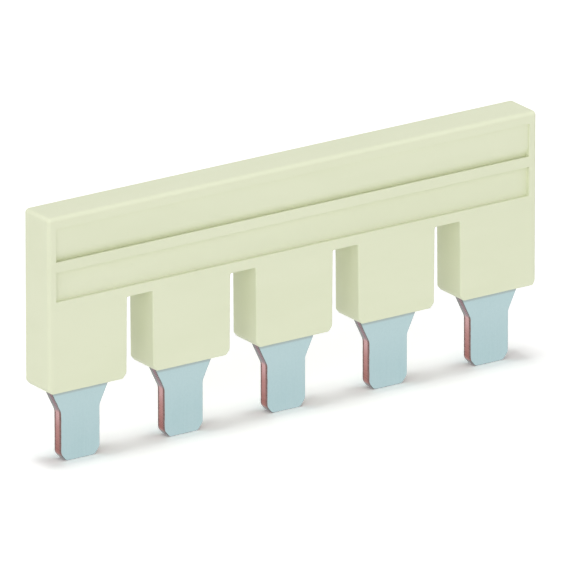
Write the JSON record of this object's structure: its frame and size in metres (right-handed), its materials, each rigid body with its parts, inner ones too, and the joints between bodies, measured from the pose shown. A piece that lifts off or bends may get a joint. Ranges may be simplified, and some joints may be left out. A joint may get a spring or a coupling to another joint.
{
  "type": "terminal block jumper bar",
  "caption": "Push-in jumper bar: a stamped contact comb in a slim moulded housing, joining neighbouring rail terminal blocks.",
  "frame": {"origin": "middle of the bar, level with the tips of the contact tabs", "axes": "+X along the bar, -Y out of the marked front face, +Z from the tab tips up to the top of the housing"},
  "size_m": [0.038, 0.0028, 0.017],
  "materials": {
    "housing_plastic": "fine satin moulding, pale green ivory polyamide",
    "tinned_copper": "matt tin plating on copper, with bare copper on the cut edges"
  },
  "bodies": {
    "root": {"insulating_housing": "housing_plastic", "contact_comb": "tinned_copper"}
  },
  "joints": []
}
